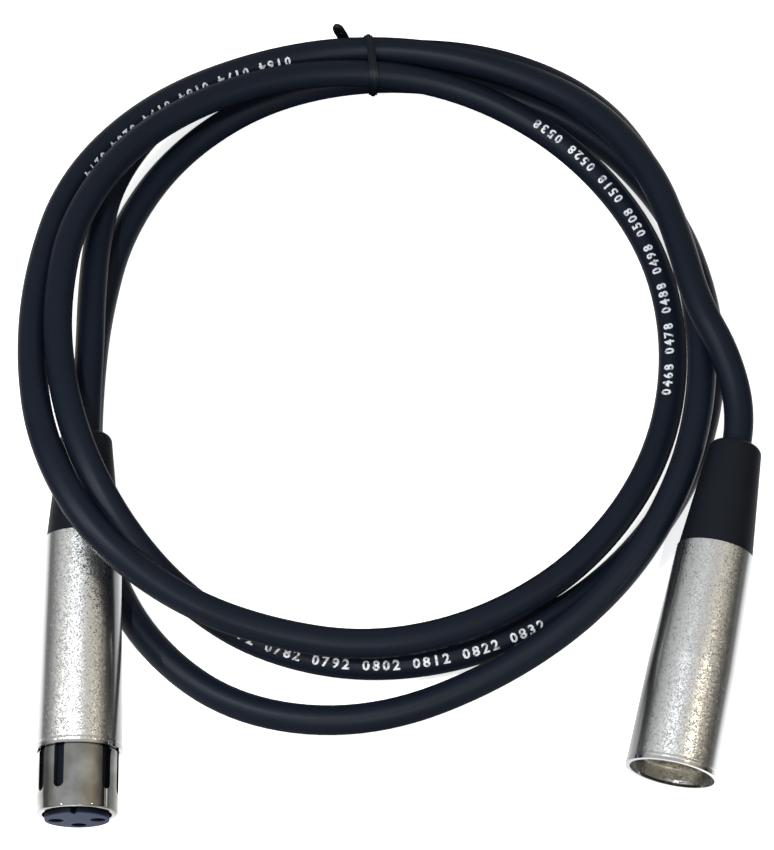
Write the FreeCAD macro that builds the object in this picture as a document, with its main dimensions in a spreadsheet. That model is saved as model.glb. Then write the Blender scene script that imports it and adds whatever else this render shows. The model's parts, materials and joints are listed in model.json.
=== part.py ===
import FreeCAD, Part
import math
import os
import Sketcher

# A microphone cable, about 1.6 m long, coiled in three and a half turns and held by a twist tie.
# One end carries a female XLR connector with a slotted nose, the other a male one with three pins.
# Frame: +X to the right of the coil, +Y from the mouths of the connectors towards the tie, +Z up.
# The origin is on the table, under the middle of the box around the two connectors.

Vector = FreeCAD.Vector

# Driving sizes in millimetres and degrees: alias, value, what it is
SIZES = [
    ("cable_diameter", 6.0, "jacket of the microphone cable"),
    ("core_diameter", 1.4, "one insulated core"),
    ("core_circle", 2.6, "circle the three cores lie on inside the jacket"),
    ("fit_gap", 0.1, "running gap between pieces that slide together"),
    ("contact_circle", 8.1, "circle the three contacts lie on"),
    ("pin_diameter", 2.4, "male contact pin"),
    ("pin_reach", 12.5, "pin in front of the male insert"),
    ("pin_stem", 2.8, "pin inside the male insert"),
    ("pin_shoulder", 3.2, "collar of a contact behind its insert"),
    ("cup_length", 3.2, "solder cup behind a contact"),
    ("cup_diameter", 2.6, "outside of a solder cup"),
    ("cup_bore", 1.8, "bore of a solder cup"),
    ("cup_depth", 2.4, "depth of the bore in a solder cup"),
    ("socket_diameter", 3.0, "outside of a female socket contact"),
    ("socket_bore", 2.5, "bore of a female socket contact"),
    ("socket_depth", 11.0, "depth of that bore"),
    ("socket_recess", 1.0, "socket contact behind the face of its insert"),
    ("ring_thick", 0.8, "retaining ring behind an insert"),
    ("ring_width", 1.1, "width of that ring, from outside to bore"),
    ("shell_wall", 0.9, "wall of a shell behind its insert"),
    ("lip_thick", 0.9, "rolled lip at the mouth of a shell"),
    ("lip_height", 0.1, "how far that lip stands out"),
    ("nose_diameter", 15.7, "outside of the slotted female nose"),
    ("nose_wall", 1.1, "wall of the nose"),
    ("nose_reach", 12.4, "nose in front of the female shell"),
    ("nose_seat", 13.0, "nose inside the female shell"),
    ("nose_relief", 0.2, "how much less the radius of the nose is at its root and seat"),
    ("nose_root", 0.4, "length of that thinner root in front of the shell"),
    ("nose_round", 0.5, "rounding of the front edge of the nose"),
    ("slot_start", 3.9, "front of the slots behind the front of the nose"),
    ("slot_length", 12.2, "length of the slots"),
    ("slot_width", 2.1, "width of the slots"),
    ("slot_pitch", 36.0, "angle from slot to slot"),
    ("slot_count", 9, "slots in the nose, with none above the key"),
    ("nose_roll", 14.0, "turn of the nose about its axis, from the key to the right"),
    ("female_insert_proud", 1.05, "female insert in front of the nose"),
    ("female_insert_step", 0.5, "gap between the front of the female insert and the nose"),
    ("female_insert_land_length", 3.5, "length of that front"),
    ("female_insert_length", 20.0, "whole length of the female insert"),
    ("key_width", 2.4, "width of the key notch in the female face"),
    ("key_depth", 1.3, "depth of the key notch towards the axis"),
    ("key_length", 6.0, "length of the key notch"),
    ("female_shell_length", 43.6, "female shell from lip to rear edge"),
    ("female_front_wall", 0.65, "wall of the female shell at its front"),
    ("female_taper", 1.0, "how much less the radius of the female shell is at its rear edge"),
    ("female_boot_length", 22.2, "female boot behind its shell"),
    ("male_shell_length", 46.4, "male shell from lip to rear edge"),
    ("male_front_wall", 1.1, "wall of the male shell round its cavity"),
    ("male_waist", 22.0, "start of the taper behind the mouth"),
    ("male_waist_drop", 0.4, "how much less the radius is there"),
    ("male_taper", 1.45, "how much less the radius is at its rear edge"),
    ("male_boot_length", 23.6, "male boot behind its shell"),
    ("cavity_diameter", 16.2, "bore of the male mouth"),
    ("cavity_depth", 16.5, "male insert behind the mouth"),
    ("lead_in_step", 0.25, "how much wider the radius is at the edge of the male mouth"),
    ("lead_in_depth", 3.4, "depth of that wider bore"),
    ("male_insert_length", 6.0, "thickness of the male insert"),
    ("boot_step", 0.25, "step from a shell down to its boot"),
    ("boot_end_diameter", 10.5, "small end of a boot"),
    ("boot_round", 1.6, "rounded shoulder of a boot"),
    ("boot_skirt", 8.0, "threaded skirt of a boot inside its shell"),
    ("boot_cone_depth", 5.5, "conical seat in that skirt"),
    ("clamp_length", 10.0, "chuck clamped on the cable"),
    ("clamp_nose_diameter", 11.0, "front of the chuck"),
    ("clamp_tail_diameter", 8.6, "tail of the chuck, in the conical seat"),
    ("clamp_front", 12.0, "front of the chuck ahead of the rear edge of its shell"),
    ("jaw_gap", 1.0, "cut between the jaws of the chuck"),
    ("jaw_count", 4, "cuts round the chuck"),
    ("tail_start", 13.0, "cut end of the jacket ahead of the rear edge of its shell"),
    ("female_x", -63.26, "front of the female nose"),
    ("female_y", -38.33, "front of the female nose"),
    ("female_heading", -1.0, "female axis from +Y towards +X"),
    ("female_tilt", 7.0, "female rear end lifted by the cable under it"),
    ("male_x", 51.74, "middle of the male mouth"),
    ("male_y", -30.43, "middle of the male mouth"),
    ("male_heading", 13.0, "male axis from +Y towards +X"),
    ("male_tilt", 6.0, "male rear end lifted by the coil under it"),
    ("coil_x", -6.46, "centre of the coil"),
    ("coil_y", 65.97, "centre of the coil"),
    ("tie_wire", 0.6, "thickness of the twist tie"),
    ("tie_width", 1.7, "width of the band of the twist tie"),
    ("tie_tail", 9.0, "length of the twisted ends"),
    ("tie_tail_diameter", 0.9, "one of the two twisted ends"),
    ("tie_twist_pitch", 4.5, "length of one twist of the ends"),
]

# Where the cable passes each side of the coil, in the order it runs from the female to the male
# end: side, reach from the centre of the coil, drift along that side, height of the axis,
# lean of the run towards the centre in degrees, and climb per unit of length.
# The strands fan out to the sides, and they stack in two layers of two at the tie.
PASSES = [
    ("left", 59.6, 7.0, 15.0, 2.0, -0.24),
    ("tie", 76.9, -1.2, 4.0, 0.0, 0.09),
    ("right", 68.4, -4.0, 14.8, -2.0, 0.13),
    ("bottom", 83.0, 9.4, 3.0, 0.0, 0.0),
    ("left", 57.0, -1.0, 3.0, 6.0, 0.0),
    ("tie", 69.6, -1.2, 4.0, 0.0, 0.0),
    ("right", 71.6, -5.0, 3.0, -10.0, 0.0),
    ("bottom", 71.2, -2.0, 3.0, 0.0, 0.0),
    ("left", 58.0, -37.0, 26.4, -23.0, 0.10),
    ("tie", 66.4, -1.2, 9.8, 0.0, 0.0),
    ("right", 63.0, 1.0, 7.0, 0.0, 0.0),
    ("bottom", 69.6, 2.4, 10.6, 0.0, 0.10),
    ("left", 60.4, -49.6, 26.2, -27.0, -0.06),
    ("tie", 73.4, -1.2, 10.5, 0.0, 0.03),
    ("right", 69.8, -4.0, 21.5, -18.0, 0.05),
]

# Outward direction and direction of travel of the cable on each side
SIDES = {
    "tie": (Vector(0, 1, 0), Vector(1, 0, 0)),
    "right": (Vector(1, 0, 0), Vector(0, -1, 0)),
    "bottom": (Vector(0, -1, 0), Vector(-1, 0, 0)),
    "left": (Vector(-1, 0, 0), Vector(0, 1, 0)),
}

# Radii that follow from what a shell holds
NOSE_SEAT = "(sizes.nose_diameter / 2 - sizes.nose_relief)"
FEMALE_FRONT = "(sizes.nose_diameter / 2 + sizes.fit_gap + sizes.female_front_wall)"
FEMALE_REAR = f"({FEMALE_FRONT} - sizes.female_taper)"
INSERT_LAND = "(sizes.nose_diameter / 2 - sizes.nose_wall - sizes.female_insert_step)"
MALE_FRONT = "(sizes.cavity_diameter / 2 + sizes.male_front_wall)"
MALE_REAR = f"({MALE_FRONT} - sizes.male_taper)"

LEAST_GAP = 0.4
CHECK_POINTS = 24

doc = FreeCAD.newDocument("xlr_cable_coil")


def make_sheet():
    table = doc.addObject("Spreadsheet::Sheet", "sizes")
    for row, (alias, value, note) in enumerate(SIZES, 1):
        table.set(f"A{row}", alias)
        table.set(f"B{row}", str(value))
        table.set(f"C{row}", note)
        table.setAlias(f"B{row}", alias)
    doc.recompute()
    return table


sheet = make_sheet()


def size(alias):
    return float(sheet.get(alias))


# Sketches and bodies

def origin_feature(body, role):
    return next(f for f in body.Origin.OriginFeatures if f.Role == role)


def new_sketch(body, role, name):
    sketch = body.newObject("Sketcher::SketchObject", name)
    sketch.AttachmentSupport = [(origin_feature(body, role), "")]
    sketch.MapMode = "FlatFace"
    return sketch


def bind(sketch, kind, geometry, point, expression):
    value = float(sketch.evalExpression(expression))
    index = sketch.addConstraint(Sketcher.Constraint(kind, geometry, point, value))
    sketch.setExpression(f"Constraints[{index}]", expression)


def polygon(sketch, corners):
    """A closed outline whose corners are pairs of expressions."""
    places = [Vector(float(sketch.evalExpression(x)), float(sketch.evalExpression(y)), 0)
              for x, y in corners]
    first = sketch.GeometryCount
    count = len(corners)
    for k in range(count):
        sketch.addGeometry(Part.LineSegment(places[k], places[(k + 1) % count]), False)
    for k in range(count):
        following = first + (k + 1) % count
        sketch.addConstraint(Sketcher.Constraint("Coincident", first + k, 2, following, 1))
    for k, (x, y) in enumerate(corners):
        bind(sketch, "DistanceX", first + k, 1, x)
        bind(sketch, "DistanceY", first + k, 1, y)


def circle(sketch, x, y, radius):
    """A circle whose centre and radius are expressions."""
    centre = Vector(float(sketch.evalExpression(x)), float(sketch.evalExpression(y)), 0)
    value = float(sketch.evalExpression(radius))
    index = sketch.addGeometry(Part.Circle(centre, Vector(0, 0, 1), value), False)
    bind(sketch, "DistanceX", index, 3, x)
    bind(sketch, "DistanceY", index, 3, y)
    constraint = sketch.addConstraint(Sketcher.Constraint("Radius", index, value))
    sketch.setExpression(f"Constraints[{constraint}]", radius)


def turned(name, corners):
    """A body turned about its Z axis from corners given as radius and height."""
    body = doc.addObject("PartDesign::Body", name)
    sketch = new_sketch(body, "XZ_Plane", f"{name}_outline")
    polygon(sketch, corners)
    feature = body.newObject("PartDesign::Revolution", f"{name}_turned")
    feature.Profile = sketch
    feature.ReferenceAxis = (sketch, ["V_Axis"])
    feature.Angle = 360
    doc.recompute()
    return body


def pocket(body, sketch, length=None, reverse=False):
    """Cuts a sketch into a body, to a depth or right through, and checks that material went."""
    before = body.Shape.Volume
    cut = body.newObject("PartDesign::Pocket", f"{sketch.Name}_cut")
    cut.Profile = sketch
    if length:
        cut.setExpression("Length", length)
    else:
        cut.Type = "ThroughAll"
        cut.Midplane = True
    cut.Reversed = reverse
    doc.recompute()
    if body.Shape.Volume >= before:
        raise RuntimeError(f"{sketch.Name} cut nothing")
    return cut


def polar(body, cuts, angle, count):
    """Repeats cuts about the Z axis of their body."""
    before = body.Shape.Volume
    pattern = body.newObject("PartDesign::PolarPattern", f"{cuts[0].Name}_round")
    pattern.Originals = cuts
    pattern.Axis = (origin_feature(body, "Z_Axis"), [""])
    pattern.setExpression("Angle", angle)
    pattern.setExpression("Occurrences", count)
    body.Tip = pattern
    doc.recompute()
    if body.Shape.Volume >= before:
        raise RuntimeError(f"{pattern.Name} repeats nothing")


def rims(body, radius, height):
    """Names of the circular edges of a body at a radius and a height."""
    names = []
    for k, edge in enumerate(body.Shape.Edges, 1):
        curve = edge.Curve
        if not isinstance(curve, Part.Circle):
            continue
        if abs(curve.Radius - radius) < 1e-4 and abs(curve.Center.z - height) < 1e-4:
            names.append(f"Edge{k}")
    return names


def round_rim(body, radius, height, expression):
    edges = rims(body, radius, height)
    tip = body.Tip
    fillet = body.newObject("PartDesign::Fillet", f"{body.Name}_round")
    fillet.Base = (tip, edges)
    fillet.setExpression("Radius", expression)
    doc.recompute()


# Pieces of a connector: each is made about its own Z axis, with the mouth at 0 and the cable
# towards +Z, and +Y is the side of the key.

def shell(end, outside, mouth, bore, seat_end, length, rear):
    """A tapered metal shell: its outline outside, a straight bore to its seat, then a taper."""
    inside = [
        (f"{rear} - sizes.shell_wall", length),
        (f"{bore} - sizes.shell_wall", f"{seat_end} + sizes.ring_thick + sizes.fit_gap"),
        (bore, f"{seat_end} + sizes.ring_thick"),
    ]
    return turned(f"{end}_shell", outside + inside + mouth)


def female_shell():
    front = "sizes.nose_reach"
    rear_edge = "sizes.nose_reach + sizes.female_shell_length"
    outside = [
        (FEMALE_FRONT, front),
        (FEMALE_FRONT, f"{front} + sizes.lip_thick"),
        (f"{FEMALE_FRONT} - sizes.lip_height", f"{front} + 1.5 * sizes.lip_thick"),
        (FEMALE_REAR, rear_edge),
    ]
    bore = f"{NOSE_SEAT} + sizes.fit_gap"
    mouth = [
        (bore, f"{front} + 2 * sizes.lip_thick"),
        ("sizes.nose_diameter / 2 + sizes.fit_gap", f"{front} + 2 * sizes.lip_thick"),
        ("sizes.nose_diameter / 2 + sizes.fit_gap", front),
    ]
    return shell("female", outside, mouth, bore,
                 "sizes.nose_reach + sizes.nose_seat", rear_edge, FEMALE_REAR)


def male_shell():
    outside = [
        (MALE_FRONT, "0"),
        (MALE_FRONT, "sizes.lip_thick"),
        (f"{MALE_FRONT} - sizes.lip_height", "1.5 * sizes.lip_thick"),
        (f"{MALE_FRONT} - sizes.male_waist_drop", "sizes.male_waist"),
        (MALE_REAR, "sizes.male_shell_length"),
    ]
    bore = "sizes.cavity_diameter / 2"
    mouth = [
        (bore, "sizes.lead_in_depth"),
        (f"{bore} + sizes.lead_in_step", "sizes.lead_in_depth"),
        (f"{bore} + sizes.lead_in_step", "0"),
    ]
    return shell("male", outside, mouth, bore, "sizes.cavity_depth + sizes.male_insert_length",
                 "sizes.male_shell_length", MALE_REAR)


def female_nose():
    """The sleeve that goes into the other connector, slotted so that it grips by spring.

    Its first slot is at -Y and its plain part one pitch short of that."""
    outer = "sizes.nose_diameter / 2"
    inner = "sizes.nose_diameter / 2 - sizes.nose_wall"
    root = "sizes.nose_reach - sizes.nose_root"
    rear = "sizes.nose_reach + sizes.nose_seat"
    body = turned("female_nose", [(inner, "0"), (outer, "0"), (outer, root), (NOSE_SEAT, root),
                                  (NOSE_SEAT, rear), (inner, rear)])
    round_rim(body, size("nose_diameter") / 2, 0.0, "sizes.nose_round")
    half = "sizes.slot_width / 2"
    front = "sizes.slot_start + sizes.slot_width / 2"
    back = "sizes.slot_start + sizes.slot_length"
    slot = new_sketch(body, "XZ_Plane", "nose_slot")
    polygon(slot, [(f"-{half}", front), (half, front), (half, back), (f"-{half}", back)])
    round_end = new_sketch(body, "XZ_Plane", "nose_slot_end")
    circle(round_end, "0", front, half)
    depth = "sizes.nose_diameter / 2 + 1"
    cuts = [pocket(body, slot, depth, reverse=True), pocket(body, round_end, depth, reverse=True)]
    polar(body, cuts, "sizes.slot_pitch * (sizes.slot_count - 1)", "sizes.slot_count")
    return body


def contact_places(mirror):
    """Centres of the three contacts as expressions: two level with the axis, one below it."""
    radius = "sizes.contact_circle / 2"
    sides = [(f"-{radius}", "0"), (radius, "0"), ("0", f"-{radius}")]
    if mirror:
        sides[0], sides[1] = sides[1], sides[0]
    return sides


def drill_contacts(body, name, radius, mirror):
    sketch = new_sketch(body, "XY_Plane", name)
    for x, y in contact_places(mirror):
        circle(sketch, x, y, radius)
    return pocket(body, sketch)


def female_insert():
    """The moulded insert: a front land that shows, a body inside the nose, and the key notch."""
    land = INSERT_LAND
    outer = "sizes.nose_diameter / 2 - sizes.nose_wall - sizes.fit_gap"
    face = "-sizes.female_insert_proud"
    step = "sizes.female_insert_land_length - sizes.female_insert_proud"
    rear = "sizes.female_insert_length - sizes.female_insert_proud"
    body = turned("female_insert", [("0", face), (land, face), (land, step), (outer, step),
                                    (outer, rear), ("0", rear)])
    drill_contacts(body, "socket_holes", "sizes.socket_diameter / 2", mirror=True)
    sketch = new_sketch(body, "XY_Plane", "key_notch")
    edge = f"{land} + 1"
    polygon(sketch, [
        ("0", f"{land} - sizes.key_depth"),
        ("sizes.key_width / 2", edge),
        ("-sizes.key_width / 2", edge),
    ])
    sketch.setExpression("AttachmentOffset.Base.z", face)
    doc.recompute()
    pocket(body, sketch, "sizes.key_length - sizes.female_insert_proud", reverse=True)
    return body


def male_insert():
    """The moulded disc that carries the pins."""
    outer = "sizes.cavity_diameter / 2 - sizes.fit_gap"
    front = "sizes.cavity_depth"
    rear = "sizes.cavity_depth + sizes.male_insert_length"
    body = turned("male_insert", [("0", front), (outer, front), (outer, rear), ("0", rear)])
    drill_contacts(body, "pin_holes", "sizes.pin_stem / 2", mirror=False)
    return body


def retaining_ring(end, outer, rear):
    inner = f"{outer} - sizes.ring_width"
    back = f"{rear} + sizes.ring_thick"
    return turned(f"{end}_ring", [(inner, rear), (outer, rear), (outer, back), (inner, back)])


def male_pin(number):
    """A round-nosed pin with a collar and a solder cup, on its own axis."""
    radius = "sizes.pin_diameter / 2"
    tip = "sizes.cavity_depth - sizes.pin_reach"
    rear = "sizes.cavity_depth + sizes.male_insert_length"
    cup = f"{rear} + 1 + sizes.cup_length"
    body = turned(f"male_pin_{number}", [
        ("0", tip), ("0.55 * sizes.pin_diameter / 2", tip),
        ("0.9 * sizes.pin_diameter / 2", f"{tip} + 0.25 * sizes.pin_diameter"),
        (radius, f"{tip} + 0.6 * sizes.pin_diameter"),
        (radius, "sizes.cavity_depth"), ("sizes.pin_stem / 2", "sizes.cavity_depth"),
        ("sizes.pin_stem / 2", rear),
        ("sizes.pin_shoulder / 2", rear), ("sizes.pin_shoulder / 2", f"{rear} + 1"),
        ("sizes.cup_diameter / 2", f"{rear} + 1"), ("sizes.cup_diameter / 2", cup),
        ("sizes.cup_bore / 2", cup), ("sizes.cup_bore / 2", f"{cup} - sizes.cup_depth"),
        ("0", f"{cup} - sizes.cup_depth"),
    ])
    return body


def female_socket(number):
    """A bored socket contact with a collar and a solder cup, on its own axis."""
    radius = "sizes.socket_diameter / 2"
    bore = "sizes.socket_bore / 2"
    face = "sizes.socket_recess - sizes.female_insert_proud"
    rear = "sizes.female_insert_length - sizes.female_insert_proud"
    cup = f"{rear} + 1 + sizes.cup_length"
    body = turned(f"female_socket_{number}", [
        (bore, face), (radius, face), (radius, rear),
        ("sizes.pin_shoulder / 2", rear), ("sizes.pin_shoulder / 2", f"{rear} + 1"),
        ("sizes.cup_diameter / 2", f"{rear} + 1"), ("sizes.cup_diameter / 2", cup),
        ("sizes.cup_bore / 2", cup), ("sizes.cup_bore / 2", f"{cup} - sizes.cup_depth"),
        ("0", f"{cup} - sizes.cup_depth"), ("0", f"{face} + sizes.socket_depth"),
        (bore, f"{face} + sizes.socket_depth"),
    ])
    return body


def boot(end, rear_edge, rear_radius, length):
    """The rubber boot: a skirt that screws into the shell, and a taper with a rounded shoulder."""
    base = f"{rear_radius} - sizes.boot_step"
    skirt = f"{rear_radius} - sizes.shell_wall - sizes.fit_gap"
    small = "sizes.boot_end_diameter / 2"
    bore = "sizes.cable_diameter / 2 + sizes.fit_gap"
    tip = f"{rear_edge} + {length}"
    front = f"{rear_edge} - sizes.boot_skirt"
    body = turned(f"{end}_boot", [
        ("sizes.clamp_nose_diameter / 2 + sizes.fit_gap", front), (skirt, front),
        (skirt, rear_edge), (base, rear_edge), (small, tip), (bore, tip),
        (bore, f"{front} + sizes.boot_cone_depth"),
        ("sizes.clamp_tail_diameter / 2 + sizes.fit_gap", f"{front} + sizes.boot_cone_depth"),
    ])
    end_height = body.evalExpression(tip)
    round_rim(body, size("boot_end_diameter") / 2, float(end_height), "sizes.boot_round")
    return body


def clamp(end, rear_edge):
    """The chuck: a split ring with a conical tail that the boot squeezes onto the jacket."""
    bore = "sizes.cable_diameter / 2"
    front = f"{rear_edge} - sizes.clamp_front"
    cone = f"{rear_edge} - sizes.boot_skirt"
    back = f"{cone} + sizes.boot_cone_depth"
    body = turned(f"{end}_clamp", [
        (bore, front), ("sizes.clamp_nose_diameter / 2", front),
        ("sizes.clamp_nose_diameter / 2", cone), ("sizes.clamp_tail_diameter / 2", back),
        (bore, back),
    ])
    sketch = new_sketch(body, "XZ_Plane", f"{end}_jaw_cut")
    half = "sizes.jaw_gap / 2"
    start = f"{front} + 0.3 * sizes.clamp_length"
    polygon(sketch, [(f"-{half}", start), (half, start), (half, f"{back} + 1"),
                     (f"-{half}", f"{back} + 1")])
    cut = pocket(body, sketch, "sizes.clamp_nose_diameter", reverse=False)
    polar(body, [cut], "360 - 360 / sizes.jaw_count", "sizes.jaw_count")
    return body


def cable_tail(end, rear_edge, length):
    """The end of the jacket inside a connector."""
    radius = "sizes.cable_diameter / 2"
    start = f"{rear_edge} - sizes.tail_start"
    tip = f"{rear_edge} + {length}"
    return turned(f"{end}_cable_tail", [("0", start), (radius, start), (radius, tip), ("0", tip)])


# Routes of round section: the cable and the cores

def biarc(start, start_way, finish, finish_way):
    """Two arcs, tangent to each other and to both ways, as corner points."""
    chord = finish - start
    both = start_way + finish_way
    square = 2 * (1 - start_way.dot(finish_way))
    along = chord.dot(both)
    if square < 1e-9:
        reach = chord.dot(chord) / (2 * along)
    else:
        reach = (math.sqrt(along * along + square * chord.dot(chord)) - along) / square
    first = start + start_way * reach
    second = finish - finish_way * reach
    middle = (first + second) * 0.5
    return [(start, first, middle), (middle, second, finish)]


def arc_through(start, corner, finish):
    """The arc that leaves start towards corner and arrives at finish from it."""
    towards = (corner - start).normalize()
    away = (finish - corner).normalize()
    half = towards.getAngle(away) / 2
    if half < 1e-4:
        return Part.LineSegment(start, finish)
    reach = (corner - start).Length
    middle = (start + finish) * 0.5
    inward = (middle - corner).normalize()
    radius = reach / math.tan(half)
    return Part.Arc(start, corner + inward * (radius / math.cos(half) - radius), finish)


def tube(name, pieces, diameter):
    """A round tube along lines and arcs, checked by its volume."""
    edges = [piece.toShape() for piece in pieces]
    path = Part.Wire(edges)
    first = edges[0]
    way = first.tangentAt(first.FirstParameter)
    ring = Part.Wire([Part.Circle(pieces[0].StartPoint, way, diameter / 2).toShape()])
    shape = path.makePipeShell([ring], True, False)
    expected = math.pi * diameter ** 2 / 4 * path.Length
    if abs(shape.Volume - expected) > 0.01 * expected:
        raise RuntimeError(f"{name}: volume {shape.Volume:.1f}, expected {expected:.1f}")
    piece = doc.addObject("Part::Feature", name)
    piece.Shape = shape
    return piece, path


def core(end, number, place, cup_rear, tail_front):
    """One insulated core from its solder cup to the jacket, in the frame of its connector."""
    x, y = place
    shrink = size("core_circle") / size("contact_circle")
    start = Vector(x, y, cup_rear - size("cup_depth") + size("fit_gap"))
    finish = Vector(x * shrink, y * shrink, tail_front)
    way = Vector(0, 0, 1)
    leave = start + way * size("cup_depth")
    corners = biarc(leave, way, finish, way)
    pieces = [Part.LineSegment(start, leave)] + [arc_through(*corner) for corner in corners]
    return tube(f"{end}_core_{number}", pieces, size("core_diameter"))[0]


# Frames of the two connectors

def connector_frame(x, y, front_radius, rounding, heading, tilt):
    """Its mouth rests on the table, its axis points to the cable, and its key side is up."""
    turn = math.radians(heading)
    lift = math.radians(tilt)
    axis = Vector(math.sin(turn) * math.cos(lift), math.cos(turn) * math.cos(lift), math.sin(lift))
    up = (Vector(0, 0, 1) - axis * axis.z).normalize()
    rotation = FreeCAD.Rotation(up.cross(axis), up, axis, "ZYX")
    height = (front_radius - rounding) * math.cos(lift) + rounding * (1 - math.sin(lift))
    return FreeCAD.Placement(Vector(x, y, height), rotation)


def seat(piece, frame, x=0.0, y=0.0, roll=0.0):
    own = FreeCAD.Placement(Vector(x, y, 0), FreeCAD.Rotation(Vector(0, 0, 1), roll))
    piece.Placement = frame.multiply(own)


def make_female(frame):
    rear = "(sizes.nose_reach + sizes.female_shell_length)"
    seat(female_shell(), frame)
    seat(female_nose(), frame, roll=size("nose_roll") - 4 * size("slot_pitch"))
    seat(female_insert(), frame)
    seat(retaining_ring("female", NOSE_SEAT,
                        "sizes.nose_reach + sizes.nose_seat"), frame)
    rear_edge = size("nose_reach") + size("female_shell_length")
    cup = size("female_insert_length") - size("female_insert_proud") + 1 + size("cup_length")
    for number, (x, y) in enumerate(contact_centres(mirror=True), 1):
        seat(female_socket(number), frame, x, y)
        seat(core("female", number, (x, y), cup, rear_edge - size("tail_start")), frame)
    seat(clamp("female", rear), frame)
    seat(boot("female", rear, FEMALE_REAR, "sizes.female_boot_length"), frame)
    seat(cable_tail("female", rear, "sizes.female_boot_length"), frame)


def make_male(frame):
    rear = "sizes.male_shell_length"
    seat(male_shell(), frame)
    seat(male_insert(), frame)
    seat(retaining_ring("male", "sizes.cavity_diameter / 2 - sizes.fit_gap",
                        "sizes.cavity_depth + sizes.male_insert_length"), frame)
    rear_edge = size("male_shell_length")
    cup = size("cavity_depth") + size("male_insert_length") + 1 + size("cup_length")
    for number, (x, y) in enumerate(contact_centres(mirror=False), 1):
        seat(male_pin(number), frame, x, y)
        seat(core("male", number, (x, y), cup, rear_edge - size("tail_start")), frame)
    seat(clamp("male", rear), frame)
    seat(boot("male", rear, MALE_REAR, "sizes.male_boot_length"), frame)
    seat(cable_tail("male", rear, "sizes.male_boot_length"), frame)


def contact_centres(mirror):
    return [(float(sheet.evalExpression(x)), float(sheet.evalExpression(y)))
            for x, y in contact_places(mirror)]


# The coil

def passing(side, reach, drift, height, lean, climb):
    """Point and direction where the cable passes one side of the coil."""
    outward, travel = SIDES[side]
    point = Vector(size("coil_x"), size("coil_y"), height) + outward * reach + travel * drift
    turn = math.radians(lean)
    way = travel * math.cos(turn) - outward * math.sin(turn) + Vector(0, 0, climb)
    return point, way.normalize()


def make_coil(female, male):
    """One unbroken tube from boot to boot, a biarc for each quarter turn."""
    straight = size("cable_diameter")
    start_way = female.Rotation.multVec(Vector(0, 0, 1))
    finish_way = male.Rotation.multVec(Vector(0, 0, -1))
    start = female.multVec(Vector(0, 0, size("nose_reach") + size("female_shell_length")
                                  + size("female_boot_length")))
    finish = male.multVec(Vector(0, 0, size("male_shell_length") + size("male_boot_length")))
    stops = [(start + start_way * straight, start_way)]
    stops += [passing(*row) for row in PASSES]
    stops.append((finish - finish_way * straight, finish_way))
    pieces = [Part.LineSegment(start, stops[0][0])]
    for (point, way), (next_point, next_way) in zip(stops, stops[1:]):
        for corner in biarc(point, way, next_point, next_way):
            pieces.append(arc_through(*corner))
    pieces.append(Part.LineSegment(stops[-1][0], finish))
    coil, path = tube("cable_coil", pieces, straight)
    curves = [piece.toShape().Curve for piece in pieces]
    radii = [curve.Radius for curve in curves if isinstance(curve, Part.Circle)]
    print(f"cable length {path.Length:.1f}, tightest arc {min(radii):.1f}, widest {max(radii):.1f}")
    print(f"least gap of the cable to itself {least_gap(pieces):.2f}")


def least_gap(pieces):
    """Least distance between the surfaces of turns, on points along the whole route."""
    points = []
    travelled = [0.0]
    for piece in pieces:
        edge = piece.toShape()
        for point in edge.discretize(Number=CHECK_POINTS):
            if points:
                travelled.append(travelled[-1] + (point - points[-1]).Length)
            points.append(point)
    apart = 4 * size("cable_diameter")
    closest = (1e9, None)
    for a, point in enumerate(points):
        for b in range(a + 1, len(points)):
            if travelled[b] - travelled[a] > apart:
                closest = min(closest, (point.distanceToPoint(points[b]), a))
    gap = closest[0] - size("cable_diameter")
    place = points[closest[1]]
    if gap < LEAST_GAP:
        print(f"the turns come too near each other at {place.x:.0f}, {place.y:.0f}, {place.z:.0f}")
    return gap


def make_tie():
    """The band of the twist tie round the four strands, and its two ends twisted together."""
    strands = [passing(*row)[0] for row in PASSES if row[0] == "tie"]
    outer_low, inner_low, inner_high, outer_high = strands
    loop = [outer_low, inner_low, inner_high, outer_high, outer_low]
    middle = Part.Face(Part.makePolygon(loop))
    inner = size("cable_diameter") / 2 + size("fit_gap")
    hole = middle.makeOffset2D(inner)
    rim = middle.makeOffset2D(inner + size("tie_wire"))
    half = Vector(size("tie_width") / 2, 0, 0)
    band = rim.extrude(half * 2).cut(hole.extrude(half * 2))
    band.translate(half * -1)
    root = outer_high + Vector(0, inner + size("tie_wire"), 0)
    tails = []
    for phase in (0, 180):
        tails.append(twisted_end(root, phase))
    piece = doc.addObject("Part::Feature", "twist_tie")
    piece.Shape = band.fuse(tails).removeSplitter()


def twisted_end(root, phase):
    """One of the two ends: a helix about the line on which both are twisted."""
    radius = size("tie_tail_diameter") / 2
    helix = Part.makeHelix(size("tie_twist_pitch"), size("tie_tail"), radius * 1.05)
    helix.rotate(Vector(), Vector(0, 0, 1), phase)
    start = helix.Edges[0].valueAt(helix.Edges[0].FirstParameter)
    way = helix.Edges[0].tangentAt(helix.Edges[0].FirstParameter)
    ring = Part.Wire([Part.Circle(start, way, radius).toShape()])
    end = Part.Wire(helix.Edges).makePipeShell([ring], True, True)
    lean = FreeCAD.Rotation(Vector(0, 0, 1), Vector(-0.75, 0.25, 0.45))
    end.Placement = FreeCAD.Placement(root, lean)
    return end


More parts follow.
